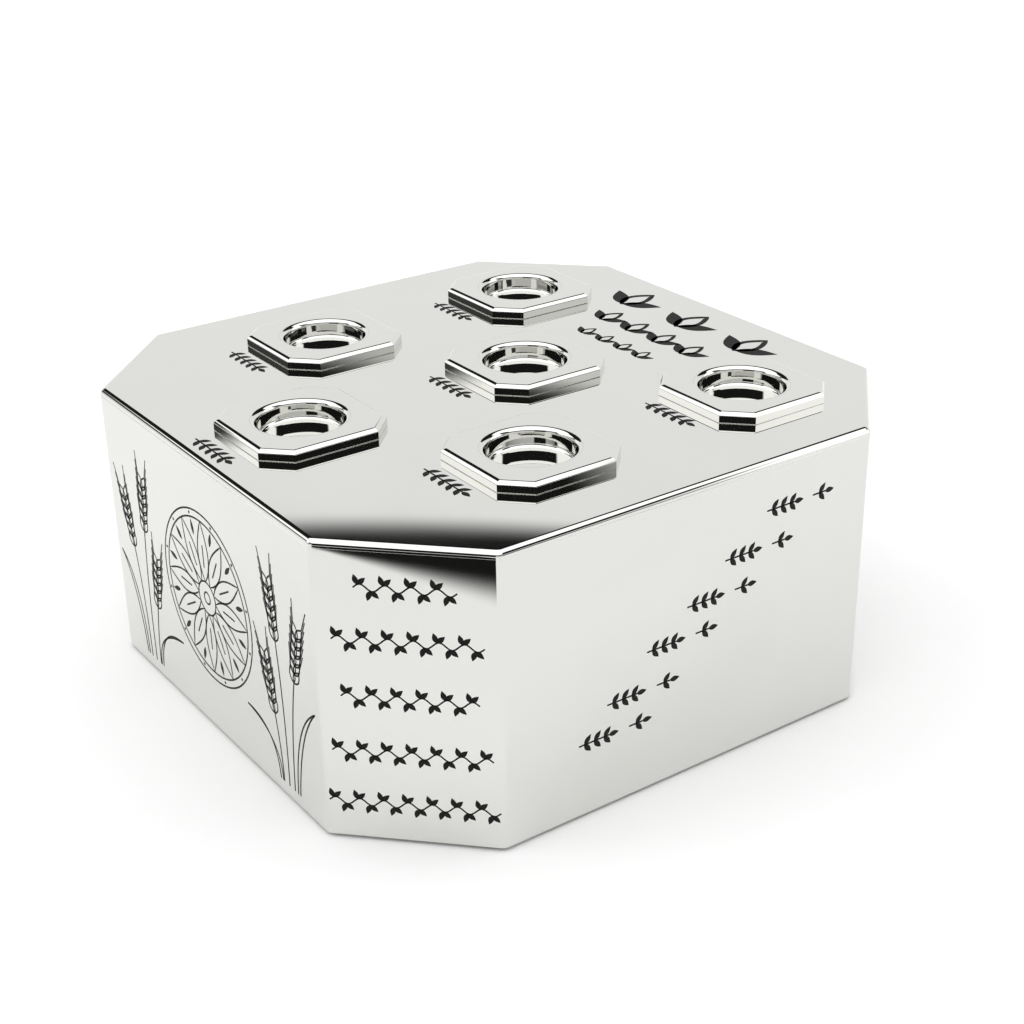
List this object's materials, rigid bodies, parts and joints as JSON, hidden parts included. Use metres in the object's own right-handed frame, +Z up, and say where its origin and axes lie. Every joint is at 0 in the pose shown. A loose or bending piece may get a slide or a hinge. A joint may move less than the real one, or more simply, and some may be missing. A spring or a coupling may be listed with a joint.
{
  "type": "seder plate",
  "caption": "Eight-sided polished silver seder plate on a matzah box, with octagonal lift-out dishes on top and matzah drawers in the back.",
  "frame": {"origin": "on the table, under the middle of the case", "axes": "+Z up, -Y towards the reader at the front of the case, +Y out of the back where the drawers open"},
  "size_m": [0.32, 0.331, 0.1514],
  "materials": {
    "polished_silver": "mirror polished",
    "satin_silver": "satin",
    "screw_steel": "turned",
    "felt": "pressed wool felt"
  },
  "bodies": {
    "case": {"base_felt": "felt", "base_plate": "satin_silver", "case_shell": "polished_silver", "corner_posts": "satin_silver", "drawer_stop_plate": "satin_silver", "guide_panel_left": "satin_silver", "guide_panel_right": "satin_silver", "guide_screws": "screw_steel", "post_screws": "screw_steel", "runner_lower_left": "satin_silver", "runner_lower_right": "satin_silver", "runner_middle_left": "satin_silver", "runner_middle_right": "satin_silver", "runner_upper_left": "satin_silver", "runner_upper_right": "satin_silver", "top_plate": "polished_silver"},
    "dish_front": {"dish_flange_front": "polished_silver", "dish_cup_front": "polished_silver"},
    "dish_front_left": {"dish_flange_front_left": "polished_silver", "dish_cup_front_left": "polished_silver"},
    "dish_front_right": {"dish_flange_front_right": "polished_silver", "dish_cup_front_right": "polished_silver"},
    "dish_centre": {"dish_flange_centre": "polished_silver", "dish_cup_centre": "polished_silver"},
    "dish_back_left": {"dish_flange_back_left": "polished_silver", "dish_cup_back_left": "polished_silver"},
    "dish_back_right": {"dish_flange_back_right": "polished_silver", "dish_cup_back_right": "polished_silver"},
    "drawer_lower": {"drawer_tray_lower": "polished_silver", "drawer_front_lower": "polished_silver", "drawer_knob_lower": "polished_silver", "knob_screw_lower": "screw_steel"},
    "drawer_middle": {"drawer_tray_middle": "polished_silver", "drawer_front_middle": "polished_silver", "drawer_knob_middle": "polished_silver", "knob_screw_middle": "screw_steel"},
    "drawer_upper": {"drawer_tray_upper": "polished_silver", "drawer_front_upper": "polished_silver", "drawer_knob_upper": "polished_silver", "knob_screw_upper": "screw_steel"}
  },
  "joints": [
    {"name": "lift_dish_front", "type": "slide", "parent": "case", "child": "dish_front", "axis": [0, 0, 1], "range_m": [0, 0.06]},
    {"name": "lift_dish_front_left", "type": "slide", "parent": "case", "child": "dish_front_left", "axis": [0, 0, 1], "range_m": [0, 0.06]},
    {"name": "lift_dish_front_right", "type": "slide", "parent": "case", "child": "dish_front_right", "axis": [0, 0, 1], "range_m": [0, 0.06]},
    {"name": "lift_dish_centre", "type": "slide", "parent": "case", "child": "dish_centre", "axis": [0, 0, 1], "range_m": [0, 0.06]},
    {"name": "lift_dish_back_left", "type": "slide", "parent": "case", "child": "dish_back_left", "axis": [0, 0, 1], "range_m": [0, 0.06]},
    {"name": "lift_dish_back_right", "type": "slide", "parent": "case", "child": "dish_back_right", "axis": [0, 0, 1], "range_m": [0, 0.06]},
    {"name": "slide_drawer_lower", "type": "slide", "parent": "case", "child": "drawer_lower", "axis": [0, 1, 0], "range_m": [0, 0.15]},
    {"name": "slide_drawer_middle", "type": "slide", "parent": "case", "child": "drawer_middle", "axis": [0, 1, 0], "range_m": [0, 0.15]},
    {"name": "slide_drawer_upper", "type": "slide", "parent": "case", "child": "drawer_upper", "axis": [0, 1, 0], "range_m": [0, 0.15]}
  ]
}
